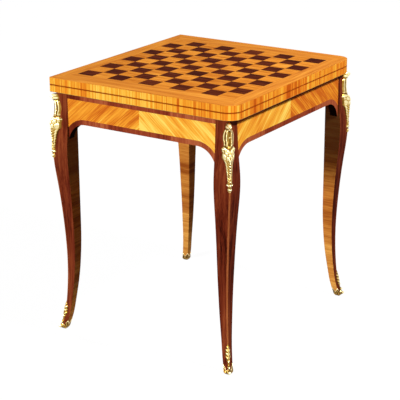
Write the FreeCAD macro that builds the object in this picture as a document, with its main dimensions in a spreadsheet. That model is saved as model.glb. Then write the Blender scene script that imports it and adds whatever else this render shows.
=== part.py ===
import FreeCAD, Part
import math
import os
import Sketcher

from FreeCAD import Placement, Rotation, Vector

# A fold-over games table: the top is two leaves hinged along the left edge, the lower leaf swivels a quarter
# turn on the frame, and the open top then covers the frame about its middle. Origin on the floor under the
# middle of the top, +Z up, front towards -Y. Millimetres.

doc = FreeCAD.newDocument("games_table")

SIZES = {
    # Board and leaves
    "square_side": 50,
    "squares_across": 10,
    "side_margin": 44,
    "end_margin": 70,
    "table_height": 736,
    "leaf_thickness": 20,
    "leaf_gap": 0.4,
    "free_corner_radius": 38,
    "hinge_corner_radius": 4,
    "face_veneer": 1.2,
    "edge_veneer": 1.5,
    "arris_round": 0.9,
    "seam_bevel": 0.7,
    "playing_border": 44,
    "baize_sink": 0.2,
    # Butt hinges between the leaves
    "hinge_length": 60,
    "hinge_plate": 2,
    "hinge_drop": 15,
    "fold_offset": 0.25,
    "barrel_radius": 2.6,
    "barrel_clearance": 0.3,
    "fold_pin_radius": 1.3,
    "running_clearance": 0.05,
    "hinge_screw_head": 2.6,
    "hinge_screw_sink": 1.3,
    "hinge_screw_shank": 1.2,
    "hinge_screw_length": 15,
    # Swivel pivot and its stop
    "pivot_plate_side": 84,
    "pivot_plate_thickness": 4,
    "pivot_screw_inset": 11,
    "pivot_screw_head": 4.2,
    "pivot_screw_sink": 2.4,
    "pivot_screw_shank": 2.1,
    "pivot_screw_length": 12,
    "stud_radius": 6,
    "stud_tail": 2.5,
    "bush_wall": 4,
    "washer_radius": 15,
    "washer_thickness": 2,
    "nut_radius": 10.5,
    "nut_height": 10,
    "turning_gap": 0.3,
    "stop_radius": 76,
    "stop_pin_radius": 5,
    "stop_pin_depth": 9,
    "stop_slot_clearance": 0.4,
    # Frame: rails, friezes, deck and well
    "side_overhang": 18,
    "end_overhang": 4.5,
    "glide_gap": 0.3,
    "glide_felt": 0.7,
    "glide_width": 11,
    "frieze_depth": 78,
    "rail_thickness": 22,
    "frieze_veneer": 1.2,
    "top_band": 11.5,
    "arch_band": 14,
    "arch_radius": 57,
    "ear_tip": 0.8,
    "tenon_thickness": 9,
    "tenon_shoulder": 10,
    "tenon_clearance": 1.3,
    "peg_radius": 2.5,
    "peg_reach": 6,
    "bearer_thickness": 20,
    "bearer_lift": 11,
    "bearer_tenon": 8,
    "bearer_shoulder": 8,
    "deck_thickness": 12,
    "well_floor": 6,
    "well_depth": 58,
    "lining_thickness": 1,
    "lining_margin": 1,
    "cleat_width": 14,
    "cleat_height": 11,
    "cleat_end_gap": 6,
    "cleat_screw_head": 3.6,
    "cleat_screw_sink": 2,
    "cleat_screw_shank": 1.8,
    "cleat_screw_bite": 12,
    # Cabriole legs
    "leg_post": 40,
    "foot_flare": 9.5,
    "ankle_draw": 9.4,
    "knee_swell": 10,
    "string_face": 2,
    "string_bed": 3.6,
    "glue_line": 0.1,
    "string_lap": 10,
    # Gilt mounts
    "sabot_wall": 2.2,
    "sabot_floor": 3,
    "sabot_cup": 26,
    "sabot_height": 87,
    "sabot_leaf": 19,
    "sabot_wrap": 11,
    "mount_drop": 2.5,
    "mount_height": 182,
    "mount_width": 34,
    "mount_plate": 2.4,
    "mount_relief": 5.6,
    "mount_wrap": 23,
    "bud_radius": 6.5,
    "mount_pin_radius": 0.9,
    "mount_pin_head": 1.9,
    "mount_pin_bite": 12,
    # Cuts run past the faces that they open by this much
    "overrun": 5,
}

PLACES = {
    "top_width": "squares_across * square_side + 2 * side_margin",
    "top_depth": "squares_across * square_side + 2 * end_margin",
    "half_width": "top_width / 2",
    "half_depth": "top_depth / 2",
    "board_half": "squares_across * square_side / 2",
    "baize_x": "half_width - playing_border",
    "baize_y": "half_depth - playing_border",
    "upper_bottom": "table_height - leaf_thickness",
    "lower_top": "upper_bottom - leaf_gap",
    "lower_bottom": "lower_top - leaf_thickness",
    "fold_x": "-half_width - fold_offset",
    "fold_z": "upper_bottom - leaf_gap / 2",
    "rail_top": "lower_bottom - glide_gap - glide_felt",
    "frieze_bottom": "rail_top - frieze_depth",
    "face_x": "half_width - side_overhang",
    "face_y": "half_depth - end_overhang",
    "post_x": "face_x - leg_post",
    "post_y": "face_y - leg_post",
    "rail_in_x": "face_x - frieze_veneer - rail_thickness",
    "rail_in_y": "face_y - frieze_veneer - rail_thickness",
    "tenon_middle": "frieze_veneer + rail_thickness / 2",
    "tenon_length": "leg_post - tenon_middle - tenon_thickness / 2 - tenon_clearance",
    "ear_inset": "sqrt(2 * arch_radius * ear_tip - ear_tip * ear_tip)",
    "bearer_half": "bearer_thickness / 2",
    "deck_bottom": "rail_top - deck_thickness",
    "well_top": "rail_top - well_depth",
    "pivot_x": "-top_width / 4",
    "pivot_y": "top_width / 4",
    "washer_top": "deck_bottom - turning_gap",
    "nut_top": "washer_top - washer_thickness",
    "stud_bottom": "nut_top - nut_height - stud_tail",
    "mount_top": "rail_top - mount_drop",
    "mount_foot": "mount_top - mount_height",
}


def add_sheet(name, cells, prefix):
    """A spreadsheet with one aliased cell per row."""
    sheet = doc.addObject("Spreadsheet::Sheet", name)
    for row, (alias, content) in enumerate(cells.items(), start=1):
        sheet.set(f"A{row}", alias)
        sheet.set(f"B{row}", f"{prefix}{content}")
        sheet.setAlias(f"B{row}", alias)
    return sheet


def sized(formula):
    """The formula with each name of a driving size or a worked-out place led by its sheet."""
    words = []
    for word in formula.replace("(", " ( ").replace(")", " ) ").split():
        if word.lstrip("-") in SIZES:
            word = word.replace(word.lstrip("-"), "Sizes." + word.lstrip("-"))
        elif word.lstrip("-") in PLACES:
            word = word.replace(word.lstrip("-"), "Places." + word.lstrip("-"))
        words.append(word)
    return " ".join(words).replace("sqrt (", "sqrt(")


sizes = add_sheet("Sizes", SIZES, "")
places = add_sheet("Places", {alias: sized(formula).replace("Places.", "")
                              for alias, formula in PLACES.items()}, "=")
doc.recompute()


def mm(alias):
    """The present value of one aliased cell."""
    return float((sizes if alias in SIZES else places).get(alias))


pieces = []


def piece(obj, label):
    """Names an object as one of the table's sub-parts."""
    obj.Label = label
    pieces.append(obj)
    return obj


def bind(obj, **formulas):
    for name, formula in formulas.items():
        obj.setExpression(name, sized(formula))
    return obj


def seat(obj, x, y, z):
    """Binds where the object's own origin sits."""
    for axis, formula in zip("xyz", (x, y, z)):
        obj.setExpression(f"Placement.Base.{axis}", sized(formula))
    return obj


def block(name, x, y, z):
    """A box between the low and high formula given for each axis."""
    obj = doc.addObject("Part::Box", name)
    spans = [f"( {high} ) - ( {low} )" for low, high in (x, y, z)]
    bind(obj, Length=spans[0], Width=spans[1], Height=spans[2])
    return seat(obj, x[0], y[0], z[0])


def run_block(name, run, u, v, z):
    """A box with u along the run of a rail and v across it, for a rail along X or along Y."""
    return block(name, u, v, z) if run == "x" else block(name, v, u, z)


TURNS = {
    "x": Rotation(Vector(0, 1, 0), 90),
    "-x": Rotation(Vector(0, 1, 0), -90),
    "y": Rotation(Vector(1, 0, 0), -90),
    "-y": Rotation(Vector(1, 0, 0), 90),
    "z": Rotation(),
}


def rod(name, axis, radius, length, foot):
    """A cylinder that starts at foot and runs along the axis."""
    obj = doc.addObject("Part::Cylinder", name)
    obj.Placement = Placement(Vector(), TURNS[axis])
    bind(obj, Radius=radius, Height=length)
    return seat(obj, *foot)


def joined(kind, name, parts):
    obj = doc.addObject(kind, name)
    if kind == "Part::Compound":
        obj.Links = parts
    else:
        obj.Shapes = parts
    return obj


def fused(name, *parts):
    return joined("Part::MultiFuse", name, list(parts))


def common(name, *parts):
    return joined("Part::MultiCommon", name, list(parts))


def group(name, parts):
    return joined("Part::Compound", name, list(parts))


def cut(name, base, *tools):
    obj = doc.addObject("Part::Cut", name)
    obj.Base = base
    obj.Tool = tools[0] if len(tools) == 1 else group(f"{name}_tools", tools)
    return obj


def mirrored(name, source, normal):
    obj = doc.addObject("Part::Mirroring", name)
    obj.Source = source
    obj.Normal = normal
    return obj


def screw(name, stem, axis, foot, length):
    """A countersunk screw: its head's flat at foot, its point along the axis."""
    cone = doc.addObject("Part::Cone", f"{name}_head")
    cone.Placement = Placement(Vector(), TURNS[axis])
    bind(cone, Radius1=f"{stem}_head", Radius2=f"{stem}_shank", Height=f"{stem}_sink")
    seat(cone, *foot)
    return fused(name, cone, rod(f"{name}_shank", axis, f"{stem}_shank", length, foot))


# Leaves: cores, edge veneers, borders, board and baize. A level edge's ends differ by less than this share of
# a veneer's thickness.
TRACE_SHARE = 1e-4


def plate(name, inset, low, high, ease=None, eased_top=True):
    """A leaf's outline, drawn in by inset, between two heights, with its eased long arris if asked for."""
    body = doc.addObject("PartDesign::Body", name)
    sketch = body.newObject("Sketcher::SketchObject", f"{name}_outline")
    plane = next(f for f in body.Origin.OriginFeatures if f.Role == "XY_Plane")
    sketch.AttachmentSupport = [(plane, "")]
    sketch.MapMode = "FlatFace"
    x = mm("half_width")
    y = mm("half_depth")
    corners = [Vector(-x, -y), Vector(x, -y), Vector(x, y), Vector(-x, y)]
    for k in range(4):
        sketch.addGeometry(Part.LineSegment(corners[k], corners[(k + 1) % 4]), False)
    for k in range(4):
        sketch.addConstraint(Sketcher.Constraint("Coincident", k, 2, (k + 1) % 4, 1))
        sketch.addConstraint(Sketcher.Constraint("Horizontal" if k % 2 == 0 else "Vertical", k))
    sketch.addConstraint(Sketcher.Constraint("Symmetric", 0, 1, 1, 2, -1, 1))
    for side, alias in ((0, "top_width"), (1, "top_depth")):
        kind = "DistanceX" if side == 0 else "DistanceY"
        number = sketch.addConstraint(Sketcher.Constraint(kind, side, 1, side, 2, mm(alias)))
        sketch.renameConstraint(number, alias)
        sketch.setExpression(f"Constraints.{alias}", sized(f"{alias} - 2 * {inset}"))
    last = body.newObject("PartDesign::Pad", f"{name}_pad")
    last.Profile = sketch
    bind(last, Length=f"{high} - ( {low} )")
    doc.recompute()
    for alias, right in (("free_corner_radius", True), ("hinge_corner_radius", False)):
        upright = [f"Edge{n}" for n, edge in enumerate(last.Shape.Edges, start=1)
                   if edge.BoundBox.ZLength > edge.BoundBox.DiagonalLength / 2
                   and (edge.CenterOfMass.x > 0) == right and edge.Curve.TypeId == "Part::GeomLine"
                   and abs(edge.CenterOfMass.x) > x - mm("overrun")]
        rounding = body.newObject("PartDesign::Fillet", f"{name}_{alias}")
        rounding.Base = (last, upright)
        bind(rounding, Radius=f"{alias} - {inset}")
        doc.recompute()
        last = rounding
    if ease:
        level = last.Shape.BoundBox.ZMax if eased_top else last.Shape.BoundBox.ZMin
        trace = mm("face_veneer") * TRACE_SHARE
        rim = [f"Edge{n}" for n, edge in enumerate(last.Shape.Edges, start=1)
               if edge.BoundBox.ZLength < trace and abs(edge.CenterOfMass.z - level) < trace]
        easing = body.newObject("PartDesign::Fillet" if ease == "arris_round" else "PartDesign::Chamfer",
                                f"{name}_easing")
        easing.Base = (last, rim)
        if ease == "arris_round":
            bind(easing, Radius=ease)
        else:
            bind(easing, Size=ease)
        doc.recompute()
        last = easing
    body.Tip = last
    return seat(body, "0", "0", low)


MITRE_OVERRUN_SHARE = 0.1


def mitred(label, ring, inner_x, inner_y, low, high):
    """Four border veneers cut from one ring along the lines from the opening's corners to the leaf's."""
    outer_x = f"( {inner_x} + ( half_width - {inner_x} ) * {1 + MITRE_OVERRUN_SHARE} )"
    outer_y = f"( {inner_y} + ( half_depth - {inner_y} ) * {1 + MITRE_OVERRUN_SHARE} )"
    veneers = []
    for side, near, far, near_half, far_half, turn in (
            ("front", f"-1 * {outer_y}", f"-1 * {inner_y}", outer_x, inner_x, 0),
            ("back", inner_y, outer_y, inner_x, outer_x, 0),
            ("right", f"-1 * {outer_x}", f"-1 * {inner_x}", outer_y, inner_y, 90),
            ("left", inner_x, outer_x, inner_y, outer_y, 90)):
        wedge = doc.addObject("Part::Wedge", f"{label}_{side}_wedge")
        wedge.Placement = Placement(Vector(), Rotation(Vector(0, 0, 1), turn))
        bind(wedge, Ymin=near, Ymax=far, Xmin=f"-1 * {near_half}", Xmax=near_half,
             X2min=f"-1 * {far_half}", X2max=far_half, Zmin=low, Zmax=high, Z2min=low, Z2max=high)
        veneers.append(common(f"{label}_{side}", ring, wedge))
    return piece(group(label, veneers), label)


# Hinge leaves, pins and screws come first, because the leaves are cut to take them.
HINGE_PLACE_SHARES = (-0.68, 0, 0.68)
HINGE_SCREW_SHARES = (-0.32, 0, 0.32)
KNUCKLES = 5
hinge_leaves = {"upper": [], "lower": []}
hinge_screws = {"upper": [], "lower": []}
hinge_pins = []
hinge_room = []
for h, place_share in enumerate(HINGE_PLACE_SHARES):
    middle = f"half_depth * ( {place_share} )"
    start = f"{middle} - hinge_length / 2"
    knuckle = f"( hinge_length - {KNUCKLES - 1} * barrel_clearance ) / {KNUCKLES}"
    edge_x = ("-half_width", "-half_width + hinge_plate")
    span_y = (start, f"{middle} + hinge_length / 2")
    heights = {"upper": ("upper_bottom", "upper_bottom + hinge_drop"),
               "lower": ("lower_top - hinge_drop", "lower_top")}
    foot = ("fold_x", start, "fold_z")
    hinge_pins.append(rod(f"fold_pin_{h}", "y", "fold_pin_radius", "hinge_length", foot))
    hinge_room.append(rod(f"barrel_room_{h}", "y", "barrel_radius + barrel_clearance",
                          "hinge_length + 2 * barrel_clearance",
                          ("fold_x", f"{start} - barrel_clearance", "fold_z")))
    for leaf, height in heights.items():
        name = f"hinge_{leaf}_{h}"
        own = range(1, KNUCKLES, 2) if leaf == "upper" else range(0, KNUCKLES, 2)
        starts = [f"{start} + {k} * ( {knuckle} + barrel_clearance )" for k in range(KNUCKLES)]
        rings = [rod(f"{name}_knuckle_{k}", "y", "barrel_radius", knuckle, ("fold_x", starts[k], "fold_z"))
                 for k in own]
        rooms = [rod(f"{name}_room_{k}", "y", "barrel_radius + barrel_clearance",
                     f"{knuckle} + 2 * barrel_clearance",
                     ("fold_x", f"{starts[k]} - barrel_clearance", "fold_z"))
                 for k in range(KNUCKLES) if k not in own]
        slack = "running_clearance" if leaf == "upper" else "0"
        bore = rod(f"{name}_bore", "y", f"fold_pin_radius + {slack}", "hinge_length + 2 * overrun",
                   ("fold_x", f"{start} - overrun", "fold_z"))
        flag = block(f"{name}_flag", edge_x, span_y, height)
        hinge_room.append(flag)
        level = f"( {height[0]} + {height[1]} ) / 2"
        screws = [screw(f"{name}_screw_{k}", "hinge_screw", "x",
                        ("-half_width", f"{middle} + hinge_length * ( {share} )", level),
                        "hinge_screw_length")
                  for k, share in enumerate(HINGE_SCREW_SHARES)]
        hinge_screws[leaf] += screws
        cleared = cut(f"{name}_cleared", flag, *rooms)
        hinge_leaves[leaf].append(cut(name, fused(f"{name}_barrel", cleared, *rings), bore, *screws))
hinge_room = fused("hinge_room", *hinge_room)
for leaf in ("upper", "lower"):
    piece(group(f"hinge_leaves_{leaf}", hinge_leaves[leaf]), f"hinge_leaves_{leaf}")
    hinge_screws[leaf] = piece(group(f"hinge_screws_{leaf}", hinge_screws[leaf]), f"hinge_screws_{leaf}")
piece(group("hinge_pins", hinge_pins), "hinge_pins")

# Pivot plate, stud and stop pin under the lower leaf.
pivot = ("pivot_x", "pivot_y")
half_plate = "pivot_plate_side / 2"
plate_top = "lower_bottom + pivot_plate_thickness"
pivot_square = block("pivot_square", (f"pivot_x - {half_plate}", f"pivot_x + {half_plate}"),
                     (f"pivot_y - {half_plate}", f"pivot_y + {half_plate}"), ("lower_bottom", plate_top))
stud = piece(rod("pivot_stud", "z", "stud_radius", f"{plate_top} - ( stud_bottom )", (*pivot, "stud_bottom")),
             "pivot_stud")
pivot_screws = []
for k, (i, j) in enumerate(((-1, -1), (1, -1), (1, 1), (-1, 1))):
    reach = f"( {half_plate} - pivot_screw_inset )"
    pivot_screws.append(screw(f"pivot_screw_{k}", "pivot_screw", "z",
                              (f"pivot_x + {i} * {reach}", f"pivot_y + {j} * {reach}", "lower_bottom"),
                              "pivot_screw_length"))
pivot_screws = piece(group("pivot_screws", pivot_screws), "pivot_screws")
piece(cut("pivot_plate", pivot_square, stud, pivot_screws), "pivot_plate")
STOP_START = math.radians(-45)
stop_x = f"pivot_x + stop_radius * {math.cos(STOP_START)}"
stop_y = f"pivot_y + stop_radius * ( {math.sin(STOP_START)} )"
stop_pin = piece(rod("stop_pin", "z", "stop_pin_radius", "lower_bottom + stop_pin_depth - ( deck_bottom )",
                     (stop_x, stop_y, "deck_bottom")), "stop_pin")

# The two leaves, from the core outwards.
for leaf, bottom, top in (("upper", "upper_bottom", "table_height"), ("lower", "lower_bottom", "lower_top")):
    low = f"{bottom} + face_veneer"
    high = f"{top} - face_veneer"
    blank = plate(f"{leaf}_blank", "edge_veneer", low, high)
    tools = [hinge_room, hinge_screws[leaf]]
    if leaf == "lower":
        tools += [pivot_square, pivot_screws, stop_pin]
    piece(cut(f"{leaf}_core", blank, *tools), f"{leaf}_core")
    skirt = cut(f"{leaf}_skirt", plate(f"{leaf}_outer", "0", low, high), blank)
    piece(cut(f"{leaf}_edge_veneer", skirt, hinge_room), f"{leaf}_edge_veneer")
    meeting = (bottom, low) if leaf == "upper" else (high, top)
    frame = plate(f"{leaf}_meeting_face", "0", *meeting, ease="seam_bevel", eased_top=leaf == "lower")
    opening = block(f"{leaf}_baize_opening", ("-baize_x", "baize_x"), ("-baize_y", "baize_y"),
                    (f"{meeting[0]} - overrun", f"{meeting[1]} + overrun"))
    ring = cut(f"{leaf}_ring", frame, opening, hinge_room)
    mitred(f"{leaf}_playing_border", ring, "baize_x", "baize_y", f"{meeting[0]} - overrun",
           f"{meeting[1]} + overrun")
    cloth = (f"{bottom} + baize_sink", low) if leaf == "upper" else (high, f"{top} - baize_sink")
    piece(block(f"{leaf}_baize", ("-baize_x", "baize_x"), ("-baize_y", "baize_y"), cloth), f"{leaf}_baize")

underside = plate("underside_sheet", "0", "lower_bottom", "lower_bottom + face_veneer", ease="arris_round",
                  eased_top=False)
piece(cut("underside_veneer", underside, pivot_square, stop_pin), "underside_veneer")

# The board: square veneers let into a mitred border on the upper leaf's face.
veneer_low = "table_height - face_veneer"
face = plate("board_sheet", "0", veneer_low, "table_height", ease="arris_round")
board_opening = block("board_opening", ("-board_half", "board_half"), ("-board_half", "board_half"),
                      (f"{veneer_low} - overrun", "table_height + overrun"))
mitred("board_border", cut("board_ring", face, board_opening), "board_half", "board_half",
       f"{veneer_low} - overrun", "table_height + overrun")
squares = {"dark_squares": [], "light_squares": []}
for i in range(int(mm("squares_across"))):
    for j in range(int(mm("squares_across"))):
        shade = "dark_squares" if (i + j) % 2 == 0 else "light_squares"
        squares[shade].append(block(
            f"square_{i}_{j}", (f"{i} * square_side - board_half", f"{i + 1} * square_side - board_half"),
            (f"{j} * square_side - board_half", f"{j + 1} * square_side - board_half"),
            (veneer_low, "table_height")))
for shade, veneers in squares.items():
    piece(group(shade, veneers), shade)

# Cabriole legs: the same S-shaped outline sawn from two sides, with a string let into the outer arris.
# Each station: share of the leg's height, the swell or flare that it follows, and its share of that.
OUTER_SHARES = ((0, "foot_flare", 1), (0.055, "foot_flare", 0.1), (0.15, "ankle_draw", -0.66),
                (0.3, "ankle_draw", -1), (0.48, "ankle_draw", -0.5), (0.64, "knee_swell", 0.42),
                (0.77, "knee_swell", 1), (0.86, "knee_swell", 0.48), (0.93, "knee_swell", 0.14),
                (1, "knee_swell", 0))
INNER_SHARES = ((0, 0.2), (0.05, 0.43), (0.115, 0.61), (0.23, 0.845), (0.35, 0.97), (0.5, 1))


def curve(points, rates, ends=None):
    """A smooth curve through points, with its ends' directions where they are given."""
    spline = Part.BSplineCurve()
    if ends:
        spline.interpolate(Points=points, Parameters=rates, InitialTangent=ends[0], FinalTangent=ends[1])
    else:
        spline.interpolate(Points=points, Parameters=rates)
    return spline.toShape()


def outer_edge(across, grow, bevel):
    """The leg's outer line as an upright curve, across being the level direction that it bows along. Seen
    along the diagonal, each step out counts once for either side, less the bevelled corner."""
    reach = across.x + across.y
    corner = Vector(mm("face_x") if across.x else 0, mm("face_y") if across.y else 0)
    height = mm("rail_top")
    points = []
    for height_share, alias, share in OUTER_SHARES:
        out = reach * (mm(alias) * share + grow) - bevel / math.sqrt(2)
        points.append(corner + across * out + Vector(0, 0, height * height_share))
    return curve(points, [station[0] for station in OUTER_SHARES])


def slab(edges, direction, span):
    """The upright face that the edges close, swept both ways along a level direction."""
    faced = Part.Face(Part.Wire(Part.__sortEdges__(edges)))
    faced.translate(direction * -span)
    return faced.extrude(direction * (2 * span))


def side_slab(across, along, grow):
    """The leg as one saw cut leaves it: its outer and inner lines, carried along the other direction."""
    outer = outer_edge(across, grow, 0)
    corner = Vector(mm("face_x") if across.x else 0, mm("face_y") if across.y else 0)
    height = mm("rail_top")
    inner = [corner + across * (-mm("leg_post") * share - grow) + Vector(0, 0, height * level)
             for level, share in INNER_SHARES]
    rise = (inner[1] - inner[0]) * (1 / (INNER_SHARES[1][0] - INNER_SHARES[0][0]))
    bent = curve(inner, [level for level, _ in INNER_SHARES], (rise, Vector(0, 0, height)))
    head = Vector(inner[-1].x, inner[-1].y, height)
    low, high = outer.Vertexes[0].Point, outer.Vertexes[-1].Point
    edges = [outer, bent, Part.makeLine(inner[-1], head), Part.makeLine(head, high),
             Part.makeLine(inner[0], low)]
    return slab(edges, along, mm("face_x") + mm("face_y"))


DIAGONAL = Vector(1, 1, 0).normalize()
ACROSS = Vector(-1, 1, 0).normalize()


def diagonal_slab(grow, bevel, bed=None):
    """What lies inside the bevelled arris, or only the strip between the bevel and its bed."""
    outer = outer_edge(DIAGONAL, grow, bevel)
    if bed is None:
        depth = DIAGONAL * -mm("face_x")
        back = outer.translated(depth)
    else:
        back = outer_edge(DIAGONAL, grow, bed)
    edges = [outer, back]
    for end in (0, -1):
        edges.append(Part.makeLine(outer.Vertexes[end].Point, back.Vertexes[end].Point))
    return slab(edges, ACROSS, mm("face_x"))


X = Vector(1, 0, 0)
Y = Vector(0, 1, 0)


def shaped_leg(grow, bevel, bed=None):
    """The leg at the back right corner, grown outwards by grow, or only its arris strip."""
    solid = side_slab(X, Y, grow).common(side_slab(Y, X, grow))
    return solid.common(diagonal_slab(grow, bevel, bed)).Solids[0]


def shaped(name, shape):
    obj = doc.addObject("Part::Feature", name)
    obj.Shape = shape
    return obj


def arris_point(height, out):
    """A point on the leg's arris at a height, moved out along the corner's diagonal."""
    return outer_edge(DIAGONAL, 0, 0).valueAt(height / mm("rail_top")) + DIAGONAL * out


def arris_leaf(points, grow, bevel, wrap):
    """A skin on the outer corner of the leg, grow thick, reaching wrap behind the arris, with an outline of
    half widths at heights on both sides of the arris."""
    far = DIAGONAL * (mm("face_x") + mm("face_y"))
    right = [far + ACROSS * half + Vector(0, 0, level) for half, level in points]
    left = [far - ACROSS * half + Vector(0, 0, level) for half, level in points]
    corner = ACROSS * ACROSS.dot(Vector(mm("face_x"), mm("face_y")))
    rates = [(level - points[0][1]) / (points[-1][1] - points[0][1]) for _, level in points]
    edges = [curve(right, rates), curve(left, rates),
             Part.makeLine(right[0], left[0]), Part.makeLine(right[-1], left[-1])]
    faced = Part.Face(Part.Wire(Part.__sortEdges__(edges)))
    faced.translate(corner)
    skin = shaped_leg(grow, bevel, wrap * math.sqrt(2))
    return skin.common(faced.extrude(far * -1))


def quadrants(source, stem):
    """The piece at the back right and its mirror images at the other three corners."""
    front_right = mirrored(f"{stem}_front_right", source, Y)
    return {"back_right": source, "front_right": front_right,
            "back_left": mirrored(f"{stem}_back_left", source, X),
            "front_left": mirrored(f"{stem}_front_left", front_right, X)}


# Tenon pegs, set at staggered heights so that those of the two rails pass each other.
PEG_SHARES = {"x": (0.27, 0.66), "y": (0.41, 0.8)}
pegs = []
for run, shares in PEG_SHARES.items():
    for k, share in enumerate(shares):
        level = f"frieze_bottom + frieze_depth * {share}"
        if run == "x":
            foot = ("post_x + tenon_length / 2", "post_y", level)
        else:
            foot = ("post_x", "post_y + tenon_length / 2", level)
        pegs.append(rod(f"peg_{run}_{k}", "y" if run == "x" else "x", "peg_radius",
                        "leg_post - tenon_middle + tenon_thickness / 2 + peg_reach", foot))
corner_pegs = quadrants(group("pegs_corner", pegs), "pegs")
all_pegs = piece(group("tenon_pegs", corner_pegs.values()), "tenon_pegs")

# Mount pins: a shank into the leg and a domed head on the mount, along the corner's diagonal.
MOUNT_PIN_SHARES = (0.3, 0.8)
SABOT_PIN_SHARE = 0.55
pin_places = [(mm("mount_foot") + mm("mount_height") * share, mm("mount_relief"))
              for share in MOUNT_PIN_SHARES]
pin_places.append((mm("sabot_height") * SABOT_PIN_SHARE, mm("sabot_wall")))
pin_shapes = []
for level, proud in pin_places:
    out = proud * math.sqrt(2) - mm("string_face") / math.sqrt(2)
    head = arris_point(level, out)
    shank = Part.makeCylinder(mm("mount_pin_radius"), out + mm("mount_pin_bite"), head, DIAGONAL * -1)
    pin_shapes.append(shank.fuse(Part.makeSphere(mm("mount_pin_head"), head)))
corner_pins = shaped("pins_corner", Part.makeCompound(pin_shapes))

string_span = block("string_span", ("0", "2 * face_x"), ("0", "2 * face_y"),
                    ("sabot_height - string_lap", "mount_foot + string_lap"))
string_strip = shaped("string_strip",
                      shaped_leg(0, mm("string_face"), mm("string_bed") - mm("glue_line")))
string = common("string_back_right", string_strip, string_span)
piece(group("arris_strings", quadrants(string, "string").values()), "arris_strings")

mortises = []
for run in ("x", "y"):
    out = ("post_y", "face_y") if run == "x" else ("post_x", "face_x")
    start = "post_x" if run == "x" else "post_y"
    middle = f"{out[1]} - tenon_middle"
    mortises.append(run_block(f"mortise_{run}", run, (start, f"{start} + tenon_length"),
                              (f"{middle} - tenon_thickness / 2", f"{middle} + tenon_thickness / 2"),
                              ("frieze_bottom + tenon_shoulder", "rail_top - tenon_shoulder")))
leg_blank = shaped("leg_blank", shaped_leg(0, mm("string_bed")))
under_foot = block("under_foot", ("0", "2 * face_x"), ("0", "2 * face_y"), ("-overrun", "sabot_floor"))
leg = cut("leg_back_right", leg_blank, under_foot, *mortises, corner_pegs["back_right"], corner_pins)
for corner, obj in quadrants(leg, "leg").items():
    piece(obj, f"leg_{corner}")

# Gilt sabots: a cup round the foot and a leaf up the arris.
SABOT_LEAF_SHARES = ((1, 0), (0.95, 0.35), (0.55, 0.5), (0.8, 0.62), (0.45, 0.82), (0.12, 1))
leaf_points = [(mm("sabot_leaf") / 2 * half, mm("sabot_height") * level) for half, level in SABOT_LEAF_SHARES]
sabot_skin = shaped("sabot_skin", shaped_leg(mm("sabot_wall"), mm("string_face")))
sabot_room = block("sabot_room", ("0", "2 * face_x"), ("0", "2 * face_y"), ("0", "sabot_cup"))
sabot_leaf = shaped("sabot_leaf",
                    arris_leaf(leaf_points, mm("sabot_wall"), mm("string_face"), mm("sabot_wrap")))
sabot_form = fused("sabot_form", common("sabot_shoe", sabot_skin, sabot_room), sabot_leaf)
sabot = cut("sabot_back_right", sabot_form, leg, string, corner_pins)
for corner, obj in quadrants(sabot, "sabot").items():
    piece(obj, f"sabot_{corner}")

# Gilt corner mounts: a plate bent over the arris under the leaf, its raised middle, and a bud on top.
PLATE_SHARES = ((0.24, 0), (0.52, 0.1), (0.3, 0.17), (0.5, 0.32), (0.7, 0.44), (0.98, 0.55), (0.96, 0.64),
                (0.72, 0.68), (0.88, 0.8), (0.7, 0.91), (0.34, 0.96))
RELIEF_SHARES = ((0.16, 0.02), (0.3, 0.1), (0.18, 0.17), (0.3, 0.32), (0.42, 0.44), (0.62, 0.55),
                 (0.58, 0.64), (0.5, 0.68), (0.62, 0.8), (0.42, 0.91), (0.22, 0.95))


def mount_layer(name, shares, grow):
    points = [(mm("mount_width") / 2 * half, mm("mount_foot") + mm("mount_height") * level)
              for half, level in shares]
    return shaped(name, arris_leaf(points, grow, mm("string_bed"), mm("mount_wrap")))


bud_height = mm("mount_top") - mm("bud_radius")
bud = shaped("mount_bud", Part.makeSphere(mm("bud_radius"), arris_point(bud_height, 0)))
mount_form = fused("mount_form", mount_layer("mount_plate_skin", PLATE_SHARES, mm("mount_plate")),
                   mount_layer("mount_relief_skin", RELIEF_SHARES, mm("mount_relief")), bud)
mount = cut("corner_mount_back_right", mount_form, leg_blank, string, corner_pins)
for corner, obj in quadrants(mount, "corner_mount").items():
    piece(obj, f"corner_mount_{corner}")
piece(group("mount_pins", quadrants(corner_pins, "pins_all").values()), "mount_pins")

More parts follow.
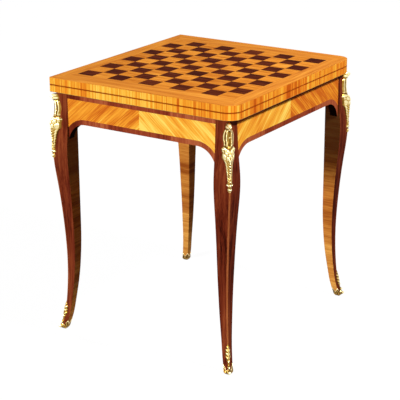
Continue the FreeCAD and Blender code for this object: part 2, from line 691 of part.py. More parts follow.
# Cleats under the deck and under the well's floor, with their screws.
cleat_z = {"deck": ("deck_bottom - cleat_height", "deck_bottom"),
           "well": ("well_top - well_floor - cleat_height", "well_top - well_floor")}
side_reach = {"deck": ("bearer_half + cleat_end_gap", "post_y - cleat_end_gap"),
              "well": ("-post_y + cleat_end_gap", "-bearer_half - cleat_end_gap")}
CLEAT_SCREW_SHARES = (0.2, 0.8)
cleats = {"deck": [], "well": []}
cleat_screws = []
for room, height in cleat_z.items():
    end = 1 if room == "deck" else -1
    long_x = ("-post_x + cleat_end_gap", "post_x - cleat_end_gap")
    wall = "rail_in_y" if end == 1 else "-rail_in_y"
    inner = f"{wall} - {end} * cleat_width"
    span = (inner, wall) if end == 1 else (wall, inner)
    layout = [("end", "x", long_x, span, "y" if end == 1 else "-y", inner),
              ("right", "y", side_reach[room], ("rail_in_x - cleat_width", "rail_in_x"), "x",
               "rail_in_x - cleat_width"),
              ("left", "y", side_reach[room], ("-rail_in_x", "-rail_in_x + cleat_width"), "-x",
               "-rail_in_x + cleat_width")]
    for side, run, u, v, axis, head in layout:
        name = f"{room}_cleat_{side}"
        level = f"( {height[0]} + {height[1]} ) / 2"
        screws = []
        for k, share in enumerate(CLEAT_SCREW_SHARES):
            along = f"{u[0]} + ( {u[1]} - ( {u[0]} ) ) * {share}"
            foot = (along, head, level) if run == "x" else (head, along, level)
            screws.append(screw(f"{name}_screw_{k}", "cleat_screw", axis, foot,
                                "cleat_width + cleat_screw_bite"))
        cleat_screws += screws
        cleats[room].append(cut(name, run_block(f"{name}_bar", run, u, v, height), *screws))
cleat_screws = piece(group("cleat_screws", cleat_screws), "cleat_screws")
for room, bars in cleats.items():
    piece(group(f"{room}_cleats", bars), f"{room}_cleats")

# The bearer across the middle, stub tenoned into the side rails, parts the deck from the well.
bearer_y = ("-bearer_half", "bearer_half")
bearer_low = "frieze_bottom + bearer_lift"
bearer_bar = block("bearer_bar", ("-rail_in_x", "rail_in_x"), bearer_y, (bearer_low, "rail_top"))
stub_reach = "rail_in_x + bearer_tenon"
bearer_stub = block("bearer_stub", (f"-1 * ( {stub_reach} )", stub_reach),
                    ("-bearer_half + bearer_shoulder / 2", "bearer_half - bearer_shoulder / 2"),
                    (f"{bearer_low} + bearer_shoulder", "rail_top - bearer_shoulder"))
piece(fused("centre_bearer", bearer_bar, bearer_stub), "centre_bearer")

# Rails, their knee blocks and their veneers: built at the back and the right, and mirrored.
ears = []
top_bands = []
arch_bands = []


def arch(name, run, half, across, grow):
    """The opening under a frieze: a wide slot whose top corners are rounded, grown by the band's width."""
    radius = f"( arch_radius + {grow} )"
    centre_z = "frieze_bottom - arch_radius"
    through = (f"{across[0]} - overrun", f"{across[1]} + overrun")
    turn = "y" if run == "x" else "x"
    parts = [run_block(f"{name}_middle", run, (f"-1 * ( {half} - arch_radius )", f"{half} - arch_radius"),
                       through, ("0", f"frieze_bottom + {grow}")),
             run_block(f"{name}_foot", run, (f"-1 * ( {half} + {grow} )", f"{half} + {grow}"),
                       through, ("0", centre_z))]
    for end in (-1, 1):
        u = f"{end} * ( {half} - arch_radius )"
        foot = (u, through[0], centre_z) if run == "x" else (through[0], u, centre_z)
        parts.append(rod(f"{name}_corner_{end + 1}", turn, radius, f"{through[1]} - ( {through[0]} )", foot))
    return fused(name, *parts)


for run, side, opposite, half, outer, rail_in, normal in (
        ("x", "back", "front", "post_x", "face_y", "rail_in_y", Y),
        ("y", "right", "left", "post_y", "face_x", "rail_in_x", X)):
    core = (rail_in, f"{outer} - frieze_veneer")
    skin = (f"{outer} - frieze_veneer", outer)
    middle = f"{outer} - tenon_middle"
    whole = (f"-{half}", half)
    reach = f"{half} + tenon_length"
    bar = run_block(f"rail_{side}_bar", run, whole, core, ("frieze_bottom", "rail_top"))
    tenons = run_block(f"rail_{side}_tenons", run, (f"-1 * ( {reach} )", reach),
                       (f"{middle} - tenon_thickness / 2", f"{middle} + tenon_thickness / 2"),
                       ("frieze_bottom + tenon_shoulder", "rail_top - tenon_shoulder"))
    blank = fused(f"rail_{side}_blank", bar, tenons)
    far = mirrored(f"rail_{opposite}_blank", blank, normal)
    for name, base in ((side, blank), (opposite, far)):
        piece(cut(f"rail_{name}", base, all_pegs, cleat_screws, bearer_stub), f"rail_{name}")

    ear_low = "frieze_bottom - arch_radius + ear_inset"
    along = X if run == "x" else Y
    opening = arch(f"arch_{side}", run, half, (rail_in, outer), "0")
    ear_block = run_block(f"ear_{side}_block", run, (f"{half} - arch_radius + ear_inset", half), core,
                          (ear_low, "frieze_bottom"))
    ear = cut(f"ear_{side}", ear_block, opening)
    both = group(f"ears_{side}", [ear, mirrored(f"ear_{side}_far", ear, along)])
    ears += [both, mirrored(f"ears_{opposite}", both, normal)]

    banded = arch(f"band_{side}", run, half, (rail_in, outer), "arch_band")
    band_sheet = run_block(f"arch_band_{side}_sheet", run, whole, skin, (ear_low, "frieze_bottom + arch_band"))
    strip = common(f"arch_band_{side}_strip", banded, band_sheet)
    arch_band = cut(f"arch_band_{side}", strip, opening)
    arch_bands += [arch_band, mirrored(f"arch_band_{opposite}", arch_band, normal)]
    top_band = run_block(f"top_band_{side}", run, whole, skin, ("rail_top - top_band", "rail_top"))
    top_bands += [top_band, mirrored(f"top_band_{opposite}", top_band, normal)]
    sheet = run_block(f"panel_{side}_sheet", run, ("0", half), skin, (ear_low, "rail_top - top_band"))
    half_panel = cut(f"panel_{side}_half", sheet, banded)
    panels = group(f"panels_{side}", [half_panel, mirrored(f"panel_{side}_far", half_panel, along)])
    piece(panels, f"frieze_panels_{side}")
    piece(mirrored(f"panels_{opposite}", panels, normal), f"frieze_panels_{opposite}")
piece(group("knee_blocks", ears), "knee_blocks")
piece(group("frieze_arch_bands", arch_bands), "frieze_arch_bands")
piece(group("frieze_top_bands", top_bands), "frieze_top_bands")

# The deck that carries the pivot, with its bush and the quarter-circle slot of the stop pin.
posts = [block(f"post_{i}_{j}", x, y, ("0", "rail_top + overrun"))
         for i, x in enumerate((("-face_x", "-post_x"), ("post_x", "face_x")))
         for j, y in enumerate((("-face_y", "-post_y"), ("post_y", "face_y")))]
bush_radius = "stud_radius + running_clearance + bush_wall"
through = "deck_thickness + 2 * overrun"
bush_hole = rod("bush_hole", "z", bush_radius, through, (*pivot, "deck_bottom - overrun"))
slot_half = "( stop_pin_radius + stop_slot_clearance )"
sector = rod("slot_sector", "z", f"stop_radius + {slot_half}", through, (*pivot, "deck_bottom - overrun"))
sector.Angle = 90
sector.Placement.Rotation = Rotation(Vector(0, 0, 1), math.degrees(STOP_START))
slot_core = rod("slot_core", "z", f"stop_radius - {slot_half}", through, (*pivot, "deck_bottom - overrun"))
slot_ends = [rod(f"slot_end_{k}", "z", slot_half, through,
                 (stop_x, f"pivot_y + stop_radius * ( {k * math.sin(STOP_START)} )", "deck_bottom - overrun"))
             for k in (-1, 1)]
slot = fused("stop_slot", cut("slot_bend", sector, slot_core), *slot_ends)
deck_board = block("deck_board", ("-rail_in_x", "rail_in_x"), ("bearer_half", "rail_in_y"),
                   ("deck_bottom", "rail_top"))
piece(cut("pivot_deck", deck_board, *posts, bush_hole, slot), "pivot_deck")
bush = rod("bush_tube", "z", bush_radius, "deck_thickness", (*pivot, "deck_bottom"))
bush_bore = rod("bush_bore", "z", "stud_radius + running_clearance", through,
                (*pivot, "deck_bottom - overrun"))
piece(cut("pivot_bush", bush, bush_bore), "pivot_bush")
washer = rod("washer_disc", "z", "washer_radius", "washer_thickness", (*pivot, "nut_top"))
piece(cut("pivot_washer", washer, stud), "pivot_washer")
nut = doc.addObject("Part::Prism", "nut_hexagon")
bind(nut, Circumradius="nut_radius", Height="nut_height")
seat(nut, *pivot, "nut_top - nut_height")
piece(cut("pivot_nut", nut, stud), "pivot_nut")

# The storage well in the front half, and the felts that the top glides on.
well_x = ("-rail_in_x", "rail_in_x")
well_y = ("-rail_in_y", "-bearer_half")
floor = block("well_board", well_x, well_y, ("well_top - well_floor", "well_top"))
piece(cut("well_bottom", floor, *posts), "well_bottom")
corner_spans = (("-face_x", "-post_x + lining_margin"), ("post_x - lining_margin", "face_x"))
grown = [block(f"lining_corner_{i}", x, ("-face_y", "-post_y + lining_margin"), ("0", "rail_top"))
         for i, x in enumerate(corner_spans)]
lining = block("lining_sheet", tuple(f"{x} * ( rail_in_x - lining_margin )" for x in (-1, 1)),
               ("-rail_in_y + lining_margin", "-bearer_half - lining_margin"),
               ("well_top", "well_top + lining_thickness"))
piece(cut("well_lining", lining, *grown), "well_lining")
felt_z = ("rail_top", "rail_top + glide_felt")
felts = [block("felt_bearer", ("-rail_in_x", "rail_in_x"), ("-glide_width / 2", "glide_width / 2"), felt_z)]
for run, half, outer in (("x", "post_x", "face_y"), ("y", "post_y", "face_x")):
    middle = f"{outer} - tenon_middle"
    strip = run_block(f"felt_{run}", run, (f"-{half}", half),
                      (f"{middle} - glide_width / 2", f"{middle} + glide_width / 2"), felt_z)
    felts += [strip, mirrored(f"felt_{run}_far", strip, Y if run == "x" else X)]
piece(group("glide_felts", felts), "glide_felts")

doc.recompute()
faults = [obj.Label for obj in doc.Objects if {"Invalid", "Error"} & set(obj.State)]
faults += [obj.Label for obj in pieces if obj.Shape.isNull() or not obj.Shape.isValid()]
if faults:
    raise RuntimeError(f"failed objects: {sorted(set(faults))}")
os.makedirs("parts", exist_ok=True)
for obj in pieces:
    obj.Shape.exportStep(f"parts/{obj.Label}.step")
    print(obj.Label, len(obj.Shape.Solids), round(obj.Shape.Volume))
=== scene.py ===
import math

import bpy
import numpy as np
from mathutils import Matrix, Vector


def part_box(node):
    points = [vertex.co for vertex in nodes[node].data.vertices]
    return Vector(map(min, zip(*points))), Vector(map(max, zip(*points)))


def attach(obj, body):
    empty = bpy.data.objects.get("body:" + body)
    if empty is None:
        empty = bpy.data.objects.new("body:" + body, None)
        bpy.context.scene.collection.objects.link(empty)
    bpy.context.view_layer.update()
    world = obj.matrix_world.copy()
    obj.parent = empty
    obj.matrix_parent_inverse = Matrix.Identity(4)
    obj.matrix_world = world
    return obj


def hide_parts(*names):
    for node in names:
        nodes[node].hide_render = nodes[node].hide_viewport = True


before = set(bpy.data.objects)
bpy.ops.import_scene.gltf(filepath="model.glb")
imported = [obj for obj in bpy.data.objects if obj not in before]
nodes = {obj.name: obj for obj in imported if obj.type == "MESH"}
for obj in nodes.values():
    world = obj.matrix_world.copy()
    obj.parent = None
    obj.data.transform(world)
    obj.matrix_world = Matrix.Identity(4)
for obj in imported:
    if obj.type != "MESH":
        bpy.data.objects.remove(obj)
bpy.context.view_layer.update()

# Legs. Each is sawn from a square of beech into an S and veneered: rosewood with upright grain on the two
# outer faces, and short lengths of tulipwood laid across the two inner ones, all under one French polish.

MM = 0.001
CORNERS = {"back_right": (1, 1), "front_right": (1, -1), "back_left": (-1, 1), "front_left": (-1, -1)}
RAMP_MIDDLE = 0.5


def linear(colour):
    """An sRGB hex colour as the linear RGBA that a shader's socket takes."""
    srgb = np.array([int(colour[k:k + 2], 16) for k in (1, 3, 5)]) / 255
    return (*np.where(srgb <= 0.04045, srgb / 12.92, ((srgb + 0.055) / 1.055) ** 2.4), 1.0)


def socket(source):
    """A node's first output, or the socket itself."""
    return source.outputs[0] if isinstance(source, bpy.types.Node) else source


def add(tree, kind, values=None, stops=(), **settings):
    """Adds a node with its settings. values fills its inputs, by name or number, with a constant, a socket or
    another node's first output, and stops are a ramp's places and colours."""
    node = tree.nodes.new("ShaderNode" + kind)
    for key, value in settings.items():
        setattr(node, key, value)
    for key, value in (values or {}).items():
        if isinstance(value, (bpy.types.Node, bpy.types.NodeSocket)):
            tree.links.new(socket(value), node.inputs[key])
        else:
            node.inputs[key].default_value = value
    for number, (place, colour) in enumerate(stops):
        elements = node.color_ramp.elements
        element = elements[number] if number < 2 else elements.new(place)
        element.position = place
        element.color = linear(colour)
    return node


def begin(name):
    """A new material, its node tree, and the piece's own X, Y and Z in metres."""
    material = bpy.data.materials.new(name)
    material.use_nodes = True
    tree = material.node_tree
    place = add(tree, "SeparateXYZ", {0: add(tree, "TexCoord").outputs["Object"]})
    return material, tree, place.outputs


def streaks(tree, axes, sizes_mm, detail=2.0):
    """Noise drawn out to streaks: each axis, in metres, is divided by a streak's size along it."""
    scaled = [add(tree, "Math", {0: axis, 1: 1 / (size * MM)}, operation="MULTIPLY")
              for axis, size in zip(axes, sizes_mm)]
    spot = add(tree, "CombineXYZ", dict(enumerate(scaled)))
    return add(tree, "TexNoise", {"Vector": spot, "Scale": 1.0, "Detail": detail, "Roughness": 0.6})


def lengths(tree, axis, length_mm, *offsets):
    """One chance value from 0 to 1 for each length of veneer along an axis, differing with the offsets."""
    count = add(tree, "Math", {0: axis, 1: 1 / (length_mm * MM)}, operation="MULTIPLY")
    count = add(tree, "Math", {0: count}, operation="FLOOR")
    for offset, step in offsets:
        count = add(tree, "Math", {0: offset, 1: step, 2: count}, operation="MULTIPLY_ADD")
    return add(tree, "TexWhiteNoise", {"W": count}, noise_dimensions="1D")


def shade(tree, *patterns):
    """The patterns added up by weight about the middle of a ramp."""
    total = RAMP_MIDDLE - sum(weight for _, weight in patterns) / 2
    for pattern, weight in patterns:
        total = add(tree, "Math", {0: pattern, 1: weight, 2: total}, operation="MULTIPLY_ADD")
    return total


def surface(material, colour, grain, roughness=0.4, coat=0.03, relief_mm=0.02):
    """Joins a colour and a fine relief to the material's shader. Left as they are, the values give French
    polish: a thin clear coat that mirrors a little, over open-grained wood that doesn't."""
    tree = material.node_tree
    shader = tree.nodes["Principled BSDF"]
    relief = add(tree, "Bump", {"Height": grain, "Distance": relief_mm * MM, "Strength": 0.6})
    tree.links.new(socket(colour), shader.inputs["Base Color"])
    tree.links.new(relief.outputs[0], shader.inputs["Normal"])
    shader.inputs["Roughness"].default_value = roughness
    shader.inputs["Specular IOR Level"].default_value = 0.0
    shader.inputs["Coat Weight"].default_value = coat
    shader.inputs["Coat Roughness"].default_value = 0.12


def finish_nodes(material, *names):
    """Gives the solids with these names one finish."""
    for name in names:
        nodes[name].data.materials.clear()
        nodes[name].data.materials.append(material)


# Rosewood and tulipwood: close upright streaks outside, cross-laid lengths of changing tone inside, both
# painted lighter away from the waist as painted light. The inner faces are painted a darker red-brown at
# the top, as painted shade under the frieze.
# Pores are finer than a pixel, so here and on the other woods they are drawn about a millimetre wide.
INNER_FACE_COSINE = -0.5
LEG_WAIST = 0.33
WAIST_ENDS = 0.05
PAINTED_LIGHT_FULL = 0.2
SHADE_STARTS = 0.42
SHADE_FULL = 0.47
PAINTED_SHADE_SHARE = 0.7
CROSS_LENGTH_MM = 34
LEG_STEPS = (7.3, 13.7)
leg_wood, tree, (x, y, z) = begin("rosewood and tulipwood veneers")
normal = add(tree, "SeparateXYZ", {0: add(tree, "NewGeometry").outputs["True Normal"]}).outputs
signs = [add(tree, "Math", {0: axis}, operation="SIGN") for axis in (x, y)]
facing = [add(tree, "Math", {0: n, 1: sign}, operation="MULTIPLY") for n, sign in zip(normal, signs)]
inmost = add(tree, "Math", {0: facing[0], 1: facing[1]}, operation="MINIMUM")
inner = add(tree, "Math", {0: inmost, 1: INNER_FACE_COSINE}, operation="LESS_THAN")
upright_figure = streaks(tree, (x, y, z), (7, 7, 260), 3)
upright_fibre = streaks(tree, (x, y, z), (1.3, 1.3, 60))
from_waist = add(tree, "Math", {0: add(tree, "Math", {0: z, 1: -LEG_WAIST})}, operation="ABSOLUTE")
# Painted light: both woods are drawn lighter away from the waist, towards the leg's ends.
painted_light_ends = add(tree, "MapRange", {0: from_waist, 1: WAIST_ENDS, 2: PAINTED_LIGHT_FULL, 3: 0.1, 4: 0.9})
# Painted shade: the two right-hand legs are drawn a little darker.
painted_shade_right = add(tree, "Math", {0: x, 1: 0.0}, operation="GREATER_THAN")
rosewood_tone = shade(tree, (upright_figure, 1.3), (upright_fibre, 0.7), (painted_light_ends, 0.2), (painted_shade_right, -0.1))
rosewood = add(tree, "ValToRGB", {0: rosewood_tone},
               [(0.17, "#370e05"), (0.39, "#5e200f"), (0.57, "#722e18"), (0.82, "#8c4423")])
cross_figure = streaks(tree, (x, y, z), (120, 120, 9), 3)
cross_fibre = streaks(tree, (x, y, z), (60, 60, 1.6))
piece_tone = lengths(tree, z, CROSS_LENGTH_MM, *zip(signs, LEG_STEPS))
tulipwood_tone = shade(tree, (cross_figure, 0.9), (cross_fibre, 0.6), (piece_tone, 0.28), (painted_light_ends, 0.4))
tulipwood = add(tree, "ValToRGB", {0: tulipwood_tone},
                [(0.15, "#8c4614"), (0.37, "#b06a28"), (0.55, "#c27e34"), (0.8, "#dea24e")])
# Painted shade: the inner faces turn a darker red-brown towards the top, under the frieze.
painted_top_shade = add(tree, "MapRange", {0: z, 1: SHADE_STARTS, 2: SHADE_FULL, 3: 0.0, 4: PAINTED_SHADE_SHARE})
tulipwood = add(tree, "Mix", {0: painted_top_shade, 6: tulipwood, 7: linear("#642a18")}, data_type="RGBA").outputs[2]
leg_colour = add(tree, "Mix", {0: inner, 6: rosewood, 7: tulipwood}, data_type="RGBA").outputs[2]
surface(leg_wood, leg_colour, upright_fibre)
finish_nodes(leg_wood, *(f"leg_{corner}" for corner in CORNERS))

# Strings on the arrises. A square line of pale wood is let into each leg's outer corner and scraped flat.
# Maple, stained warm by the polish: lighter than the veneers, with fine grain that runs with the leg.

string_wood, tree, (x, y, z) = begin("stained maple string")
fibre = streaks(tree, (x, y, z), (1.2, 1.2, 45))
colour = add(tree, "ValToRGB", {0: shade(tree, (fibre, 1.0))},
             [(0.1, "#74351a"), (0.5, "#9c562c"), (0.9, "#ba7646")])
surface(string_wood, colour, fibre)
finish_nodes(string_wood, "arris_strings")

# Carcass. Rails are tenoned and pegged into the legs, knee blocks are glued under their ends, and the bearer,
# the deck, the well's floor and the cleats stand inside. The two leaves' cores are boards of the same wood.
# Planed oak, waxed: a dull light brown, with broad figure and short dark pores along the run.

CARCASS = {"x": ["rail_front", "rail_back", "centre_bearer", "pivot_deck", "well_bottom", "deck_cleats",
                 "well_cleats", "tenon_pegs"],
           "y": ["rail_left", "rail_right", "upper_core", "lower_core", "underside_veneer"]}
OAK_FIGURE_MM = {"x": (300, 11, 11), "y": (11, 300, 11)}
OAK_PORES_MM = {"x": (9, 0.9, 0.9), "y": (0.9, 9, 0.9)}
for run, names in CARCASS.items():
    oak, tree, (x, y, z) = begin(f"waxed oak along {run}")
    figure = streaks(tree, (x, y, z), OAK_FIGURE_MM[run], 4)
    pores = streaks(tree, (x, y, z), OAK_PORES_MM[run], 1)
    colour = add(tree, "ValToRGB", {0: shade(tree, (figure, 1.2), (pores, 0.7))},
                 [(0.1, "#6f4f2c"), (0.45, "#9a7647"), (0.75, "#b08c5c"), (1.0, "#c3a274")])
    surface(oak, colour, pores, roughness=0.6, coat=0.0, relief_mm=0.05)
    finish_nodes(oak, *names)

# Oak painted nearly black as painted shade, so that the knee blocks are lost in the shade behind the arches.
painted_shade_oak, tree, (x, y, z) = begin("oak painted black as shade")
pores = streaks(tree, (x, y, z), (0.9, 0.9, 9), 1)
figure = streaks(tree, (x, y, z), (8, 8, 150), 3)
colour = add(tree, "ValToRGB", {0: shade(tree, (figure, 1.0), (pores, 0.6))},
             [(0.2, "#140805"), (0.5, "#20100a"), (0.8, "#301a10")])
surface(painted_shade_oak, colour, pores, roughness=0.6, coat=0.0, relief_mm=0.05)
finish_nodes(painted_shade_oak, "knee_blocks")

# Frieze panels. Each side has two sheets of tulipwood, glued on at a slant and book-matched in the middle.
# Each sheet has its own figure, and alternate sheets round the table are painted lighter as painted sheen;
# the front and back panels are painted lighter than the sides as painted light. Golden orange, polished,
# with broad pale streaks and closer lines along the slant.

GRAIN_SLANT = math.radians(41)
SHEET_STEP = 0.37
frieze_wood, tree, (x, y, z) = begin("tulipwood, slanted and book-matched")
halves = [add(tree, "Math", {0: axis}, operation="ABSOLUTE") for axis in (x, y)]
run = add(tree, "Math", {0: halves[0], 1: halves[1]})
lift = add(tree, "Math", {0: z, 1: math.cos(GRAIN_SLANT)}, operation="MULTIPLY")
across = add(tree, "Math", {0: run, 1: math.sin(GRAIN_SLANT), 2: lift}, operation="MULTIPLY_ADD")
drop = add(tree, "Math", {0: z, 1: -math.sin(GRAIN_SLANT)}, operation="MULTIPLY")
along = add(tree, "Math", {0: run, 1: math.cos(GRAIN_SLANT), 2: drop}, operation="MULTIPLY_ADD")
quarter = add(tree, "Math", {0: x, 1: y}, operation="MULTIPLY")
# Painted sheen: every other sheet round the table is drawn lighter; each sheet also has its own figure.
sheet_and_sheen = add(tree, "Math", {0: quarter, 1: 0.0}, operation="LESS_THAN")
sheet = add(tree, "Math", {0: sheet_and_sheen, 1: SHEET_STEP}, operation="MULTIPLY")
figure = streaks(tree, (along, across, sheet), (240, 22, 1000), 3)
lines = streaks(tree, (along, across, sheet), (220, 3.2, 1000), 2)
fibre = streaks(tree, (along, across, sheet), (45, 1.4, 1000))
# Painted light: the front and back panels are drawn lighter than the sides.
painted_light_front_back = add(tree, "Math", {0: halves[1], 1: halves[0]}, operation="GREATER_THAN")
tone = shade(tree, (figure, 1.7), (lines, 1.0), (fibre, 0.8), (sheet_and_sheen, 0.34), (painted_light_front_back, 0.13))
colour = add(tree, "ValToRGB", {0: tone},
             [(0.18, "#c8641a"), (0.4, "#e68c26"), (0.58, "#f0a232"), (0.74, "#f6b840"), (0.94, "#fcd866")])
surface(frieze_wood, colour, fibre)
finish_nodes(frieze_wood, *(f"frieze_panels_{side}" for side in ("front", "back", "left", "right")))

# Frieze bands. Rosewood strips, cut across the grain in short lengths, run along the rails' top edge and
# round the arched opening between the legs: a red-brown line that changes a little in tone by the piece.

BAND_LENGTH_MM = 46
BAND_STEP = 5.1
band_wood, tree, (x, y, z) = begin("cross-banded rosewood")
halves = [add(tree, "Math", {0: axis}, operation="ABSOLUTE") for axis in (x, y)]
run = add(tree, "Math", {0: halves[0], 1: halves[1]})
fibre = streaks(tree, (x, y, z), (1.5, 1.5, 60))
figure = streaks(tree, (x, y, z), (6, 6, 200), 3)
tone = lengths(tree, run, BAND_LENGTH_MM, (add(tree, "Math", {0: x}, operation="SIGN"), BAND_STEP))
colour = add(tree, "ValToRGB", {0: shade(tree, (figure, 0.7), (fibre, 0.7), (tone, 0.5))},
             [(0.2, "#5a1c0c"), (0.45, "#863620"), (0.62, "#964226"), (0.85, "#b0603a")])
surface(band_wood, colour, fibre)
finish_nodes(band_wood, "frieze_top_bands", "frieze_arch_bands")

# Well lining. One piece of green baize is cut round the leg posts and glued to the well's floor.
# Woollen baize is felted so that its weave hardly shows: a soft nap that brightens at a slant.

CLOTH_CELL = 6 * MM
NOTCH_ROOM = 1 * MM
MOTTLE_MM = 14


def cloth(name, xs, ys, height, skip=None):
    """A level sheet: a grid through the break lines xs and ys at a height, less the cells that skip marks."""
    lines = []
    for breaks in (xs, ys):
        runs = [np.linspace(a, b, max(2, round((b - a) / CLOTH_CELL)), endpoint=False)
                for a, b in zip(breaks[:-1], breaks[1:])]
        lines.append(np.concatenate([*runs, breaks[-1:]]))
    across, deep = np.meshgrid(*lines, indexing="ij")
    points = np.stack([across, deep, np.full_like(across, height)], -1).reshape(-1, 3)
    number = np.arange(across.size).reshape(across.shape)
    quads = np.stack([number[:-1, :-1], number[1:, :-1], number[1:, 1:], number[:-1, 1:]], -1).reshape(-1, 4)
    if skip is not None:
        quads = quads[~skip(points[quads].mean(1))]
    kept, renumbered = np.unique(quads, return_inverse=True)
    mesh = bpy.data.meshes.new(name)
    mesh.from_pydata(points[kept].tolist(), [], renumbered.reshape(-1, 4).tolist())
    piece = bpy.data.objects.new(name, mesh)
    bpy.context.scene.collection.objects.link(piece)
    return piece


def thicken(piece, thickness, material):
    """Gives a sheet its thickness downwards from its grid, and its finish."""
    solid = piece.modifiers.new("thickness", "SOLIDIFY")
    solid.thickness = thickness
    solid.offset = -1
    piece.data.materials.append(material)


def wool(name, stops, thread_mm):
    """A felted woollen cloth: thread noise, coarser than real threads so that it shows, under a mottled nap,
    rough, with the sheen of raised fibres."""
    material, tree, axes = begin(name)
    thread = streaks(tree, axes, (thread_mm,) * 3, 1)
    mottle = streaks(tree, axes, (MOTTLE_MM,) * 3, 3)
    colour = add(tree, "ValToRGB", {0: shade(tree, (thread, 0.9), (mottle, 0.8))}, stops)
    surface(material, colour, thread, roughness=0.95, coat=0.0, relief_mm=0.3)
    shader = tree.nodes["Principled BSDF"]
    shader.inputs["Sheen Weight"].default_value = 0.12
    shader.inputs["Sheen Roughness"].default_value = 0.5
    shader.inputs["Sheen Tint"].default_value = linear(stops[-1][1])
    return material


baize = wool("green woollen baize", [(0.1, "#163d24"), (0.5, "#215735"), (0.9, "#2f7148")], thread_mm=0.9)
low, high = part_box("well_lining")
notch_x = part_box("frieze_panels_front")[1].x - NOTCH_ROOM
notch_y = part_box("frieze_panels_left")[0].y + NOTCH_ROOM
lining = cloth("well_lining_baize", np.array([low.x, -notch_x, notch_x, high.x]),
               np.array([low.y, notch_y, high.y]), high.z,
               lambda middle: (abs(middle[:, 0]) > notch_x) & (middle[:, 1] < notch_y))
thicken(lining, high.z - low.z, baize)
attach(lining, "base")
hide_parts("well_lining")

# Glide felts. Five narrow strips of thin felt are glued on top of the rails and the bearer, and the top turns
# on them. Dark wool felt, pressed hard, with hardly any nap.

STRIP_WIDTH = 11 * MM
felt = wool("dark wool felt", [(0.1, "#151a16"), (0.5, "#232a25"), (0.9, "#343d36")], thread_mm=0.7)
low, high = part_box("glide_felts")
reach_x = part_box("frieze_panels_front")[1].x
reach_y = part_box("frieze_panels_left")[1].y
rail_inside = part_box("rail_right")[0].x
strips = [(-high.x, -high.x + STRIP_WIDTH, -reach_y, reach_y),
          (high.x - STRIP_WIDTH, high.x, -reach_y, reach_y),
          (-reach_x, reach_x, low.y, low.y + STRIP_WIDTH),
          (-reach_x, reach_x, high.y - STRIP_WIDTH, high.y),
          (-rail_inside, rail_inside, -STRIP_WIDTH / 2, STRIP_WIDTH / 2)]
for number, strip in enumerate(strips):
    piece = cloth(f"glide_felt_{number}", np.array(strip[:2]), np.array(strip[2:]), high.z)
    thicken(piece, high.z - low.z, felt)
    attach(piece, "base")
    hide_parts("glide_felts")

# Pivot and hinges. The pivot's plate, stud, washer and nut, the stop pin and the screws are turned steel.
# The bush that the stud turns in and the butt hinges are drawn brass. Both are a little dulled, with tool
# marks, drawn coarser than real ones, under a cloudy tarnish.

TOOL_MARKS_MM = (0.7, 0.7, 6)
TARNISH_MM = (18, 18, 18)
for name, colours, roughness, names in (
        ("turned steel", ["#6f7072", "#8d8e90", "#a5a6a8"], 0.38,
         ["pivot_plate", "pivot_stud", "pivot_washer", "pivot_nut", "pivot_screws", "stop_pin",
          "cleat_screws"]),
        ("drawn brass", ["#9c7634", "#bf9a4e", "#d6b66e"], 0.32,
         ["pivot_bush", "hinge_leaves_upper", "hinge_leaves_lower", "hinge_pins", "hinge_screws_upper",
          "hinge_screws_lower"])):
    metal, tree, axes = begin(name)
    tool_marks = streaks(tree, axes, TOOL_MARKS_MM, 1)
    tarnish = streaks(tree, axes, TARNISH_MM, 3)
    colour = add(tree, "ValToRGB", {0: shade(tree, (tool_marks, 0.5), (tarnish, 0.9))},
                 list(zip((0.1, 0.5, 0.9), colours)))
    surface(metal, colour, tool_marks, roughness=roughness, coat=0.0)
    tree.nodes["Principled BSDF"].inputs["Metallic"].default_value = 1.0
    finish_nodes(metal, *names)

# Gilt sabots. Each foot stands in a cast shoe whose rolled rim rises at the corners and dips between them,
# and an acanthus leaf climbs the arris from its toe, all in chased bronze, fire-gilt. Castings are worked
# out in mm at the back right corner and mirrored to the others.

ARRIS_FLAT = 2.5
FLAT_SKEW = (1.9, 4.5)
FLAT_DEEPEST = 12
INNER_SKEW = 0.05
INNER_NEAREST = 5
SUNK = 0.3
SHARP_EDGE = math.radians(55)
DIAGONAL = math.sqrt(0.5)
face = np.array([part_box("frieze_panels_right")[1].x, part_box("frieze_panels_back")[1].y]) / MM

# Fire-gilt bronze: bright pale gold where it is burnished, brown where the gilding is thin and dirty. The
# chasing values that pick these tones also carry painted highlights and painted shade, added below.
gilding, tree, axes = begin("fire-gilt bronze")
depth_and_painted_light = add(tree, "Attribute", attribute_name="chasing").outputs["Fac"]
grit = streaks(tree, axes, (1.1, 1.1, 1.1), 2)
tarnish = streaks(tree, axes, (8, 8, 8), 3)
level = add(tree, "Math", {0: depth_and_painted_light, 1: 0.42, 2: shade(tree, (grit, 0.25), (tarnish, 0.45))},
            operation="MULTIPLY_ADD")
colour = add(tree, "ValToRGB", {0: level},
             [(0.05, "#46290a"), (0.3, "#a0762c"), (0.52, "#d6b25c"), (0.85, "#faecb4")])
surface(gilding, colour, grit, roughness=0.3, coat=0.0, relief_mm=0.05)
tree.nodes["Principled BSDF"].inputs["Metallic"].default_value = 1.0


def leg_lines(name):
    """A leg's outer and inner arris as heights and steps out from the frieze's faces: those of the solid's
    vertices that stand about as far out in X as in Y, the outer ones on the two edges of the arris's flat."""
    points = np.empty(3 * len(nodes[name].data.vertices))
    nodes[name].data.vertices.foreach_get("co", points)
    points = abs(points.reshape(-1, 3)) / MM
    steps = points[:, :2] - face
    out = steps.max(1)
    skew = np.ptp(steps, 1)
    on_flat = (skew > FLAT_SKEW[0]) & (skew < FLAT_SKEW[1]) & (out > -FLAT_DEEPEST)
    on_inside = (skew < INNER_SKEW) & (out < -INNER_NEAREST)
    lines = []
    for chosen in (on_flat, on_inside):
        heights, first = np.unique(points[chosen, 2].round(1), return_index=True)
        lines.append((heights, out[chosen][first]))
    return lines


